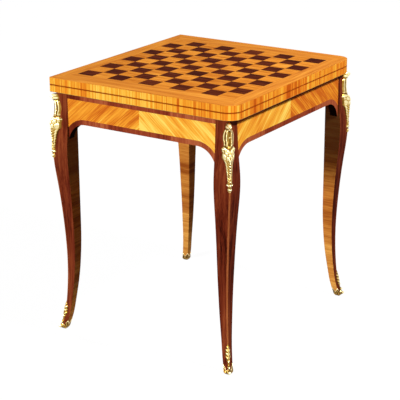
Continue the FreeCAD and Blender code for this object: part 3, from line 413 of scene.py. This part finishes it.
def smooth_line(places, values, at):
    """A smooth line through given points: between two of them, the cubic that has at each the mean of the
    slopes to its two neighbours."""
    places = np.array(places, float)
    values = np.array(values, float)
    slopes = np.gradient(values, places)
    k = np.clip(np.searchsorted(places, at) - 1, 0, len(places) - 2)
    gap = places[k + 1] - places[k]
    s = np.clip((at - places[k]) / gap, 0, 1)
    return ((1 + 2 * s) * (1 - s) ** 2 * values[k] + s * (1 - s) ** 2 * gap * slopes[k]
            + s ** 2 * (3 - 2 * s) * values[k + 1] + s ** 2 * (s - 1) * gap * slopes[k + 1])


def outline(table, at):
    """A casting's half width and ridge at the heights asked for: smooth lines through its table's columns."""
    places, *columns = zip(*table)
    return [smooth_line(places, column, at) for column in columns]


def hill(distance, reach):
    """A bell: 1 at no distance, falling away over the reach."""
    return np.exp(-(distance / reach) ** 2)


def ball(up, side, radius):
    """The height of a ball of that radius, half sunk, at a distance up and to the side of its middle."""
    return np.sqrt(np.maximum(radius ** 2 - up ** 2 - side ** 2, 0))


def ramp_up(value, low, high):
    """0 below low, 1 above high, with a smooth rise between."""
    s = np.clip((value - low) / (high - low), 0, 1)
    return s * s * (3 - 2 * s)


def within(value, low, high, soft):
    """1 between low and high and 0 elsewhere, with smooth ends."""
    return ramp_up(value, low - soft, low + soft) * (1 - ramp_up(value, high - soft, high + soft))


def hollows(relief, reach=6, full=0.7):
    """How far a relief stands above its own mean nearby, from -1 in its hollows to 1 on its heights. full is
    the step that counts as 1, and reach is how many rows and columns each way make up the mean."""
    mean = relief.copy()
    for axis in (0, 1):
        padded = np.pad(mean, [(reach, reach) if k == axis else (0, 0) for k in (0, 1)], mode="edge")
        mean = sum(np.roll(padded, -k, axis).take(range(relief.shape[axis]), axis)
                   for k in range(2 * reach + 1)) / (2 * reach + 1)
    return np.clip((relief - mean) / full, -1, 1)


def bent_leaf(heights, half, rise):
    """A casting bent over the arris, as rings: its front stands out from the leg's faces by rise along the
    corner's diagonal, and its back is sunk a little in them."""
    share = np.linspace(-1, 1, rise.shape[1])
    side = half[:, None] * share
    out = -np.hypot(side, ARRIS_FLAT) + rise
    edge = -np.maximum(half, ARRIS_FLAT)[:, None] - SUNK
    back = np.full((len(heights), 1), -ARRIS_FLAT - SUNK)
    side = np.hstack([side[:, :1], side, side[:, -1:], 0 * back])
    out = np.hstack([edge, out, edge, back])
    arris = np.interp(heights, *outer_line)[:, None]
    stack = np.stack([face[0] + arris + (out - side) * DIAGONAL, face[1] + arris + (out + side) * DIAGONAL,
                      np.broadcast_to(heights[:, None], side.shape)], -1)
    relief = hollows(rise)
    chasing = np.hstack([relief[:, :1], relief, relief[:, -1:], 0 * back - 1])
    return stack, chasing


def gild(name, stack, corner, chasing):
    """Puts a stack of rings at a corner of the table, facing outwards, as one casting with its chasing."""
    signs = np.array([*CORNERS[corner], 1])
    count = stack.shape[1]
    number = np.arange(stack.shape[0] * count).reshape(-1, count)
    after = np.roll(number, -1, 1)
    quads = np.stack([number[:-1], after[:-1], after[1:], number[1:]], -1).reshape(-1, 4)
    faces = quads.tolist() + [number[0, ::-1].tolist(), number[-1].tolist()]
    if signs.prod() < 0:
        faces = [ring[::-1] for ring in faces]
    mesh = bpy.data.meshes.new(name)
    mesh.from_pydata((stack.reshape(-1, 3) * signs * MM).tolist(), [], faces)
    mesh.polygons.foreach_set("use_smooth", np.ones(len(mesh.polygons), bool))
    mesh.set_sharp_from_angle(angle=SHARP_EDGE)
    depths = mesh.attributes.new("chasing", "FLOAT", "POINT")
    depths.data.foreach_set("value", chasing.ravel().astype(np.float32))
    mesh.materials.append(gilding)
    piece = bpy.data.objects.new(name, mesh)
    bpy.context.scene.collection.objects.link(piece)
    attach(piece, "base")
    return piece


outer_line, inner_line = leg_lines("leg_back_right")

# The shoe: rings of a rounded square that follow the foot, fluted, over a plain sole. SHOE_RIM is the rim's
# height once round, at every eighth of a turn from the inner corner to the toe and back.
SHOE_RIM = [28, 15, 25, 11, 17, 11, 25, 15, 28]
SHOE_WALL = 0.9
SHOE_CORNER_POWER = 8
FLUTES = 12
FLUTED = (0.3, 0.82)
FLUTE_DEPTH = 0.55
FLUTE_TWIST = 2.5
RIM_ROLL = 0.7
LIP_INSET = 1.5 + SHOE_WALL
turn_round = np.linspace(-math.pi, math.pi, 120, endpoint=False)
climb = np.linspace(0, 1, 44)[:, None]
rim_height = smooth_line(np.linspace(-1, 1, len(SHOE_RIM)), SHOE_RIM, turn_round / math.pi)
shoe_z = climb * rim_height
shoe_out = np.interp(shoe_z, *outer_line)
shoe_in = np.interp(shoe_z, *inner_line)
flutes = FLUTE_DEPTH * np.cos(FLUTES * turn_round + FLUTE_TWIST * climb) * within(climb, *FLUTED, 0.1)
rim = RIM_ROLL * hill(climb - 0.94, 0.06) - RIM_ROLL * ramp_up(climb, 0.96, 1)
sole = 0.5 * hill(shoe_z - 6, 5) - 2.2 * (1 - ramp_up(shoe_z, 0, 4))
shoe_relief = SHOE_WALL + flutes + rim + sole
half_side = (shoe_out - shoe_in) / 2 + shoe_relief
spin = turn_round + math.pi / 4
squared = abs(np.cos(spin)) ** SHOE_CORNER_POWER + abs(np.sin(spin)) ** SHOE_CORNER_POWER
roundness = squared ** (-1 / SHOE_CORNER_POWER)
middle = (shoe_out + shoe_in) / 2
outside = np.stack([face[0] + middle + half_side * roundness * np.cos(spin),
                    face[1] + middle + half_side * roundness * np.sin(spin), shoe_z], -1)
inwards = ((half_side - LIP_INSET) / half_side - 1)[-1][:, None]
lip = outside[-1].copy()
lip[:, :2] += inwards * (outside[-1, :, :2] - face - middle[-1][:, None])
shoe_stack = np.concatenate([outside, lip[None]])
# Painted light on the shoe: its body is painted darker as painted shade, and a painted highlight runs round
# its rim.
painted_rim_highlight = 1.6 * hill(climb - 0.93, 0.09)
shoe_chasing_and_painted_light = np.vstack([hollows(shoe_relief) - 1.0 + painted_rim_highlight, np.full((1, len(turn_round)), -1.0)])

# The toe leaf, by rows of height, half width and ridge: two balls and a stalk under a veined, lobed leaf.
LEAF_ROWS = [(2, 3.0, 4.5), (7, 4.8, 6.0), (12, 3.4, 4.6), (15, 2.8, 3.8), (19.5, 3.8, 5.8), (24, 2.8, 4.2),
             (28, 2.4, 3.6), (33, 3.0, 4.4), (38, 4.6, 5.0), (45, 6.2, 5.4), (52, 7.0, 5.6), (57, 5.8, 5.2),
             (62, 6.8, 5.2), (67, 5.0, 4.8), (71, 4.2, 4.0), (75, 2.8, 3.2), (81, 0.8, 2.7)]
LEAF_BALLS = [(6.5, 4.4), (19.5, 3.2), (36, 2.6)]
LEAF_BLADE = (38, 75)
LEAF_LOBE = 10.0
LOBE_START = 52
LEAF_EDGE = 2.4
LEAF_PAINTED_SHADE = 0.35
leaf_heights = np.linspace(LEAF_ROWS[0][0], LEAF_ROWS[-1][0], 150)
leaf_half, leaf_ridge = outline(LEAF_ROWS, leaf_heights)
share = np.linspace(-1, 1, 41)
leaf_side = leaf_half[:, None] * share
leaf_up = leaf_heights[:, None]
leaf_rise = LEAF_EDGE + (leaf_ridge[:, None] - LEAF_EDGE) * (1 - abs(share) ** 2.4)
lobes = np.cos(2 * math.pi * (leaf_up - LOBE_START - 0.8 * abs(leaf_side)) / LEAF_LOBE)
veins = 0.9 * lobes * ramp_up(abs(share), 0.15, 0.5)
leaf_rise = leaf_rise + within(leaf_up, *LEAF_BLADE, 4) * (veins + 0.7 * hill(leaf_side, 1.0))
for height, radius in LEAF_BALLS:
    leaf_rise = leaf_rise + 0.8 * ball(leaf_up - height, leaf_side, radius)
leaf_stack, leaf_chasing = bent_leaf(leaf_heights, leaf_half, leaf_rise)
for corner in CORNERS:
    shoe = gild(f"gilt_shoe_{corner}", shoe_stack, corner, shoe_chasing_and_painted_light)
    # The toe leaves are painted darker than the chutes, as painted shade.
    leaf = gild(f"gilt_toe_leaf_{corner}", leaf_stack, corner, leaf_chasing - LEAF_PAINTED_SHADE)
    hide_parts(f"sabot_{corner}")
    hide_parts(f"sabot_{corner}")

# Gilt corner mounts. Under the top each corner carries a cast chute: a three-lobed bud, an oval shield,
# hollow, with beads inside its rim, a collar of curled leaflets in tiers that slant up to the sides, and
# a long rimmed leaf with a string of beads, a floret and a drop. Fire-gilt as the sabots, and pinned on.

# Rows of height above the drop's tip, half width and ridge, then the heights between which each form stands.
CHUTE_ROWS = [(0, 1.0, 2.6), (4, 4.6, 4.2), (9, 5.9, 4.8), (14, 4.4, 4.4), (17.5, 6.4, 4.8),
              (21, 8.7, 5.2), (25, 6.8, 5.0), (29, 5.4, 4.8), (33, 6.0, 5.0), (45, 6.8, 5.6),
              (60, 8.2, 8.4), (74, 10.2, 10.8), (82, 12.6, 12.2), (88, 16.2, 12.6), (94, 16.4, 13.0),
              (102, 15.6, 13.4), (110, 17.2, 13.0), (115, 16.0, 11.0), (119, 12.6, 9.0), (126, 12.2, 8.2),
              (140, 13.8, 8.0), (152, 12.8, 8.4), (160, 10.2, 9.4), (165, 8.0, 10.2), (168, 8.4, 10.8),
              (172, 8.0, 12.0), (177, 6.2, 11.8), (180.5, 4.6, 9.4), (182, 2.0, 6.0)]
LONG_LEAF = (32, 84)
COLLAR = (86, 116)
COLLAR_TILTS = (95, 105)
COLLAR_LEDGE = (100, 122)
SHIELD = (122, 163)
BUD = (167, 184)
CHUTE_EDGE = 2.4
SHIELD_LIFT = 2.8
COLLAR_SLANT = 0.6
LEVEL_HALF = 7
RIPPLE_STEP = 7
foot, top = (corner.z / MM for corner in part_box("corner_mount_back_right"))
rows = np.linspace(0, top - foot, 300)
half, ridge = outline(CHUTE_ROWS, rows)
share = np.linspace(-1, 1, 81)
side = half[:, None] * share
up = rows[:, None]
tilt = COLLAR_SLANT * (abs(side) - LEVEL_HALF)
in_leaf = within(up, *LONG_LEAF, 3)
in_collar = within(up - tilt * ramp_up(up, *COLLAR_TILTS), *COLLAR, 2)
in_shield = within(up, *SHIELD, 3)
in_bud = within(up, *BUD, 2)
edge_lift = CHUTE_EDGE + SHIELD_LIFT * in_shield
tilted_ridge = np.interp(up - tilt * within(up, *COLLAR_LEDGE, 5), rows, ridge)
rise = edge_lift + (tilted_ridge - edge_lift) * (1 - abs(share) ** 2.2)

# The long leaf: a raised rim, a groove beside it and faint ripples, with balls of many sizes up its middle.
LEAF_BEADS = [(85, 3.4), (79, 2.2), (72, 2.9), (63, 2.4), (56.5, 2.6), (50, 1.9), (44.5, 1.8), (39.5, 1.6)]
leaf_rim = hill(abs(share) - 0.82, 0.13)
groove = hill(abs(share) - 0.5, 0.2)
ripples = np.cos(2 * math.pi * (up - abs(side)) / RIPPLE_STEP)
rise = rise + in_leaf * (1.1 * leaf_rim - 0.9 * groove + 0.25 * ripples)
for height, radius in LEAF_BEADS:
    rise = rise + 0.75 * ball(up - height, side, radius)

# The collar: three overlapping tiers, each by its foot, top and sideways shift, of round, ribbed leaflets.
COLLAR_TIERS = [(83, 100, 0.5), (92, 110, 0), (102, 120, 0.5)]
TIER_LEVEL_HALF = 9
LEAFLET = 8.0
LEAFLET_RISE = 3.0
RIB_STEP = 2.3
NEVER_NOUGHT = 1e-6
leaflets = np.zeros_like(rise)
for tier_foot, tier_top, shift in COLLAR_TIERS:
    to_middle = ((side / LEAFLET + shift + 0.5) % 1 - 0.5) * LEAFLET
    slanted = up - COLLAR_SLANT * (abs(side) - TIER_LEVEL_HALF)
    grown = np.clip((slanted - tier_foot) / (tier_top - tier_foot), 0, 1)
    half_leaflet = 0.56 * LEAFLET * np.sin(math.pi * grown ** 1.3) ** 0.55 + NEVER_NOUGHT
    body = np.sqrt(np.maximum(1 - (to_middle / half_leaflet) ** 2, 0))
    curl = 0.35 + 0.65 * hill(grown - 0.7, 0.26)
    ribs = 1 + 0.22 * np.cos(2 * math.pi * to_middle / RIB_STEP)
    leaflets = np.maximum(leaflets, LEAFLET_RISE * body * curl * ribs)
rise = rise + in_collar * leaflets

# The shield: a hollow middle, a line of beads half-way out and a raised rim. BOSSES are the balls of the
# bud, the collar's tips, the floret and the drop: height, distance from the middle, radius and share shown.
BEAD_STEP = 3.4
BOSSES = [(176.2, 0, 5.6, 1.1), (170.5, 4.6, 3.8, 1.0), (165, 0, 2.6, 0.5), (113, 15.6, 3.0, 1.2),
          (31, 0, 2.2, 0.6), (21, 0, 3.0, 0.8), (21, 6.0, 2.7, 1.0), (9.5, 2.6, 2.8, 0.9), (4, 0, 1.8, 0.6)]
bead_line = hill(abs(side) - 0.5 * half[:, None], 1.2) * (1 + 0.4 * np.cos(2 * math.pi * up / BEAD_STEP))
rise = rise + in_shield * (1.5 * bead_line + 1.4 * hill(abs(share) - 0.9, 0.09) - 1.8 * hill(side, 3.0))
for height, place, radius, proud in BOSSES:
    rise = rise + proud * ball(up - height, abs(side) - place, radius)

# Painted highlights brighten the collar, the bud, the long leaf's rims and the shield's rim and beads, and
# painted shade darkens the long leaf's body and the shield's hollow.
painted_shield_shade = 0.45 - 0.6 * np.minimum(bead_line, 1) - 0.9 * hill(1 - abs(share), 0.1)
painted_light_and_shade = 0.35 * in_collar + 0.5 * in_bud + in_leaf * (0.3 * leaf_rim - 0.15) - in_shield * painted_shield_shade
chute_stack, chute_chasing_and_painted_light = bent_leaf(foot + rows, half, rise)
chute_chasing_and_painted_light = chute_chasing_and_painted_light + np.pad(painted_light_and_shade, ((0, 0), (1, 2)), mode="edge")
for corner in CORNERS:
    chute = gild(f"gilt_chute_{corner}", chute_stack, corner, chute_chasing_and_painted_light)
    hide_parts(f"corner_mount_{corner}")

# Mount pins. Two hold each chute and one holds each toe leaf, driven through the casting into the leg.
# Bronze with round heads, gilt and burnished with the mounts.

PIN_HEAD = 1.9
PIN_SUNK = 0.7 * PIN_HEAD
PIN_BRIGHT = 0.6
CHUTE_PINS = (0.27, 0.79)
LEAF_PIN = 0.69
pin_turn = np.linspace(0, 2 * math.pi, 16, endpoint=False)
pin_lift = np.linspace(-0.99, 0.99, 11)[:, None]
pin_radius = np.sqrt(1 - pin_lift ** 2)
pin_rings = np.stack(np.broadcast_arrays(pin_radius * np.cos(pin_turn), pin_radius * np.sin(pin_turn),
                                         pin_lift), -1)
pins = [(foot + place * (top - foot), foot + rows, rise) for place in CHUTE_PINS]
pins.append((LEAF_PIN * LEAF_ROWS[-1][0], leaf_heights, leaf_rise))
for corner in CORNERS:
    for number, (height, heights, relief) in enumerate(pins):
        proud = np.interp(height, heights, relief[:, relief.shape[1] // 2]) - ARRIS_FLAT - PIN_SUNK
        out = np.interp(height, *outer_line) + DIAGONAL * proud
        stack = np.array([*(face + out), height]) + PIN_HEAD * pin_rings
        pin = gild(f"gilt_pin_{corner}_{number}", stack, corner, np.full(stack.shape[:2], PIN_BRIGHT))
        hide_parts("mount_pins")

# Edge veneers. The leaves' edges are faced with tulipwood cut across the grain, so that its stripes stand
# upright: narrow bands of yellow, orange and red-orange, with a change of tone at each length. The front
# and back edges are painted lighter than the sides as painted light, and both edges are painted darker
# along the seam between the leaves, as painted shade in the gap.

EDGE_LENGTH_MM = 58
SEAM_SHADE_FULL = 1.4 * MM
SEAM_SHADE_ENDS = 3.4 * MM
SEAM_SHADE_SHARE = 0.36
edge_wood, tree, (x, y, z) = begin("cross-cut tulipwood")
figure = streaks(tree, (x, y, z), (9, 9, 600), 3)
stripes = streaks(tree, (x, y, z), (3.4, 3.4, 500), 2)
fibre = streaks(tree, (x, y, z), (1.3, 1.3, 90))
tone = lengths(tree, add(tree, "Math", {0: x, 1: y}), EDGE_LENGTH_MM)
halves = [add(tree, "Math", {0: axis}, operation="ABSOLUTE") for axis in (x, y)]
# Painted light: the front and back edges are drawn lighter than the sides.
painted_light_front_back = add(tree, "Math", {0: halves[1], 1: halves[0]}, operation="GREATER_THAN")
level = shade(tree, (figure, 1.0), (stripes, 1.2), (fibre, 0.3), (tone, 0.25), (painted_light_front_back, 0.2))
unshaded = add(tree, "ValToRGB", {0: level},
            [(0.2, "#c0560f"), (0.38, "#e27e1e"), (0.52, "#ec9628"), (0.66, "#f2ae34"), (0.85, "#f8cc55")])
seam = (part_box("upper_edge_veneer")[0].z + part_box("lower_edge_veneer")[1].z) / 2
from_seam = add(tree, "Math", {0: add(tree, "Math", {0: z, 1: -seam})}, operation="ABSOLUTE")
# Painted shade: the edges darken towards red-brown along the seam between the leaves.
seam_shade = add(tree, "MapRange", {0: from_seam, 1: SEAM_SHADE_FULL, 2: SEAM_SHADE_ENDS, 3: SEAM_SHADE_SHARE, 4: 0.0})
colour = add(tree, "Mix", {0: seam_shade, 6: unshaded, 7: linear("#7a2a02")}, data_type="RGBA").outputs[2]
surface(edge_wood, colour, fibre)
finish_nodes(edge_wood, "upper_edge_veneer", "lower_edge_veneer")

# Borders. Strips of tulipwood veneer, mitred at the corners, frame the board, and others frame the baize
# inside the fold: orange-brown, with the grain along each strip. The inner frames meet at the seam, and their
# upright edges there are painted dark red-brown, as painted shade in the gap.

FLAT_FACE_COSINE = 0.9
board_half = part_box("dark_squares")[1].x
border_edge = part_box("board_border")[1]
for name, names, shaded_seam_edges in (
        ("tulipwood border", ["board_border"], False),
        ("tulipwood playing border", ["upper_playing_border", "lower_playing_border"], True)):
    border_wood, tree, (x, y, z) = begin(name)
    past = [add(tree, "Math", {0: axis}, operation="ABSOLUTE") for axis in (x, y)]
    past = [add(tree, "Math", {0: step, 1: -board_half}) for step in past]
    past = [add(tree, "Math", {0: step, 1: 1 / (reach - board_half)}, operation="MULTIPLY")
            for step, reach in zip(past, border_edge)]
    at_side = add(tree, "Math", {0: past[0], 1: past[1]}, operation="GREATER_THAN")
    lanes = [(streaks(tree, (x, y, z), (240, 15, 15), 3), streaks(tree, (x, y, z), (70, 1.8, 1.8))),
             (streaks(tree, (x, y, z), (15, 240, 15), 3), streaks(tree, (x, y, z), (1.8, 70, 1.8)))]
    tones = [shade(tree, (figure, 1.0), (fibre, 0.6)) for figure, fibre in lanes]
    level = add(tree, "Mix", {0: at_side, 2: tones[0], 3: tones[1]})
    colour = add(tree, "ValToRGB", {0: level},
                 [(0.25, "#a85a16"), (0.45, "#c47626"), (0.6, "#d0842c"), (0.8, "#e29a3c")])
    # Painted shade: the playing borders' upright edges, at the seam, are drawn dark red-brown.
    if shaded_seam_edges:
        normal = add(tree, "SeparateXYZ", {0: add(tree, "TexCoord").outputs["Normal"]}).outputs["Z"]
        upright = add(tree, "Math", {0: normal}, operation="ABSOLUTE")
        flat = add(tree, "Math", {0: upright, 1: FLAT_FACE_COSINE}, operation="GREATER_THAN")
        colour = add(tree, "Mix", {0: flat, 6: linear("#9a3a04"), 7: colour}, data_type="RGBA").outputs[2]
    surface(border_wood, colour, lanes[0][1])
    finish_nodes(border_wood, *names)

# Board. Ten by ten sawn veneers are let into the upper leaf's face, tulipwood and dark rosewood in turn.
# The grain runs one way, but each square is from its own place in the sheet, so figure and tone change.

SQUARES_A_SIDE = 10
square = (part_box("dark_squares")[1].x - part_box("dark_squares")[0].x) / SQUARES_A_SIDE
for name, node, stops in (
        ("tulipwood square", "light_squares",
         [(0.2, "#a85812"), (0.45, "#c27421"), (0.6, "#cd7e26"), (0.85, "#e29636")]),
        ("dark rosewood square", "dark_squares",
         [(0.2, "#2e0a03"), (0.45, "#461504"), (0.6, "#501b06"), (0.85, "#682b0f")])):
    square_wood, tree, (x, y, z) = begin(name)
    cells = [add(tree, "Math", {0: add(tree, "Math", {0: axis, 1: 1 / square}, operation="MULTIPLY")},
                 operation="FLOOR") for axis in (x, y)]
    chance = add(tree, "TexWhiteNoise", {"Vector": add(tree, "CombineXYZ", dict(enumerate(cells)))},
                 noise_dimensions="2D")
    figure = streaks(tree, (x, y, chance), (130, 8, 10), 3)
    fibre = streaks(tree, (x, y, chance), (40, 1.5, 10))
    colour = add(tree, "ValToRGB", {0: shade(tree, (figure, 1.5), (fibre, 1.1), (chance, 0.2))}, stops)
    surface(square_wood, colour, fibre)
    finish_nodes(square_wood, node)

# Playing faces. Inside the fold each leaf has a panel of green baize, glued into its frame of veneer a hair
# below the wood, so that the cloth doesn't rub when the leaves are shut.

for leaf in ("upper", "lower"):
    low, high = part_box(f"{leaf}_baize")
    panel = cloth(f"{leaf}_playing_baize", np.array([low.x, high.x]), np.array([low.y, high.y]), high.z)
    thicken(panel, high.z - low.z, baize)
    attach(panel, f"{leaf}_leaf")
    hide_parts(f"{leaf}_baize")

# Floor and backdrop. White paper that the camera, the metal and the polish see as white. Other light finds a
# dim room and a warm grey floor, so that the paper doesn't light the table from below.

FLOOR_REACH = 40.0
FLOOR_GLOW = 0.96
AMBIENT = 0.055


def shown_as_such(tree):
    """1 for rays that show the surroundings as such: the camera's, mirrored ones and those through glass."""
    rays = add(tree, "LightPath").outputs
    shown = add(tree, "Math", {0: rays["Is Camera Ray"], 1: rays["Is Glossy Ray"]}, operation="MAXIMUM")
    return add(tree, "Math", {0: shown, 1: rays["Is Transmission Ray"]}, operation="MAXIMUM")


floor_mesh = bpy.data.meshes.new("floor")
floor_mesh.from_pydata([(-FLOOR_REACH, -FLOOR_REACH, 0), (FLOOR_REACH, -FLOOR_REACH, 0),
                        (FLOOR_REACH, FLOOR_REACH, 0), (-FLOOR_REACH, FLOOR_REACH, 0)], [], [(0, 1, 2, 3)])
floor = bpy.data.objects.new("floor", floor_mesh)
bpy.context.scene.collection.objects.link(floor)
paper, tree, _ = begin("white paper")
glow = add(tree, "Emission", {0: linear("#ffffff"), 1: FLOOR_GLOW})
pale = add(tree, "BsdfDiffuse", {0: linear("#484848")})
white = add(tree, "AddShader", {0: glow, 1: pale})
warm_grey = add(tree, "BsdfDiffuse", {0: linear("#78655c")})
mixed = add(tree, "MixShader", {0: shown_as_such(tree), 1: warm_grey, 2: white})
tree.links.new(mixed.outputs[0], tree.nodes["Material Output"].inputs["Surface"])
tree.nodes.remove(tree.nodes["Principled BSDF"])
floor_mesh.materials.append(paper)

world = bpy.data.worlds.new("studio")
world.use_nodes = True
tree = world.node_tree
strength = add(tree, "Math", {0: shown_as_such(tree), 1: 1 - AMBIENT, 2: AMBIENT}, operation="MULTIPLY_ADD")
tree.links.new(strength.outputs[0], tree.nodes["Background"].inputs["Strength"])
tree.nodes["Background"].inputs["Color"].default_value = linear("#ffffff")
bpy.context.scene.world = world

# Light. A far soft light from the front, a little to the left, a low, dimmer one from the left, and a near
# disk high on the right, which falls off across the top. The far ones are given by azimuth, height and
# spread in degrees, and by strength.

FAR_LIGHTS = {"front softbox": (-12, 22, 10, 3.4), "back softbox": (250, 9, 16, 2.4)}
DISK_PLACE = Vector((2.41, -0.02, 2.84))
DISK_AIM = Vector((0, 0, 0.6))
DISK_SIZE = 0.4
DISK_WATTS = 118
for name, (azimuth, height_angle, spread, strength) in FAR_LIGHTS.items():
    a = math.radians(azimuth)
    e = math.radians(height_angle)
    away = Vector((math.sin(a) * math.cos(e), -math.cos(a) * math.cos(e), math.sin(e)))
    lamp = bpy.data.lights.new(name, "SUN")
    lamp.angle = math.radians(spread)
    lamp.energy = strength
    softbox = bpy.data.objects.new(name, lamp)
    softbox.rotation_euler = away.to_track_quat("Z", "Y").to_euler()
    bpy.context.scene.collection.objects.link(softbox)
lamp = bpy.data.lights.new("right softbox", "AREA")
lamp.shape = "DISK"
lamp.size = DISK_SIZE
lamp.energy = DISK_WATTS
softbox = bpy.data.objects.new("right softbox", lamp)
softbox.location = DISK_PLACE
softbox.rotation_euler = (DISK_PLACE - DISK_AIM).to_track_quat("Z", "Y").to_euler()
bpy.context.scene.collection.objects.link(softbox)

# Camera. A long lens at the photograph's own angle. Its place, axes and focal length come from a fit to
# the board's squares and the legs.

EYE = Vector((1.9931, -3.0885, 1.6169))
RIGHTWARDS = (0.83904, 0.54405, -0.0048)
UPWARDS = (-0.17411, 0.27685, 0.94501)
FORWARDS = (-0.51546, 0.79206, -0.32702)
FOCAL_PIXELS = 1355.3
PICTURE_PIXELS = 400
SENSOR_MM = 36.0
lens = bpy.data.cameras.new("long lens")
lens.sensor_width = SENSOR_MM
lens.lens = FOCAL_PIXELS / PICTURE_PIXELS * SENSOR_MM
camera = bpy.data.objects.new("camera", lens)
turned = Matrix((RIGHTWARDS, UPWARDS, [-step for step in FORWARDS])).transposed()
camera.matrix_world = Matrix.Translation(EYE) @ turned.to_4x4()
bpy.context.scene.collection.objects.link(camera)
bpy.context.scene.camera = camera
bpy.context.scene.view_settings.view_transform = "Standard"
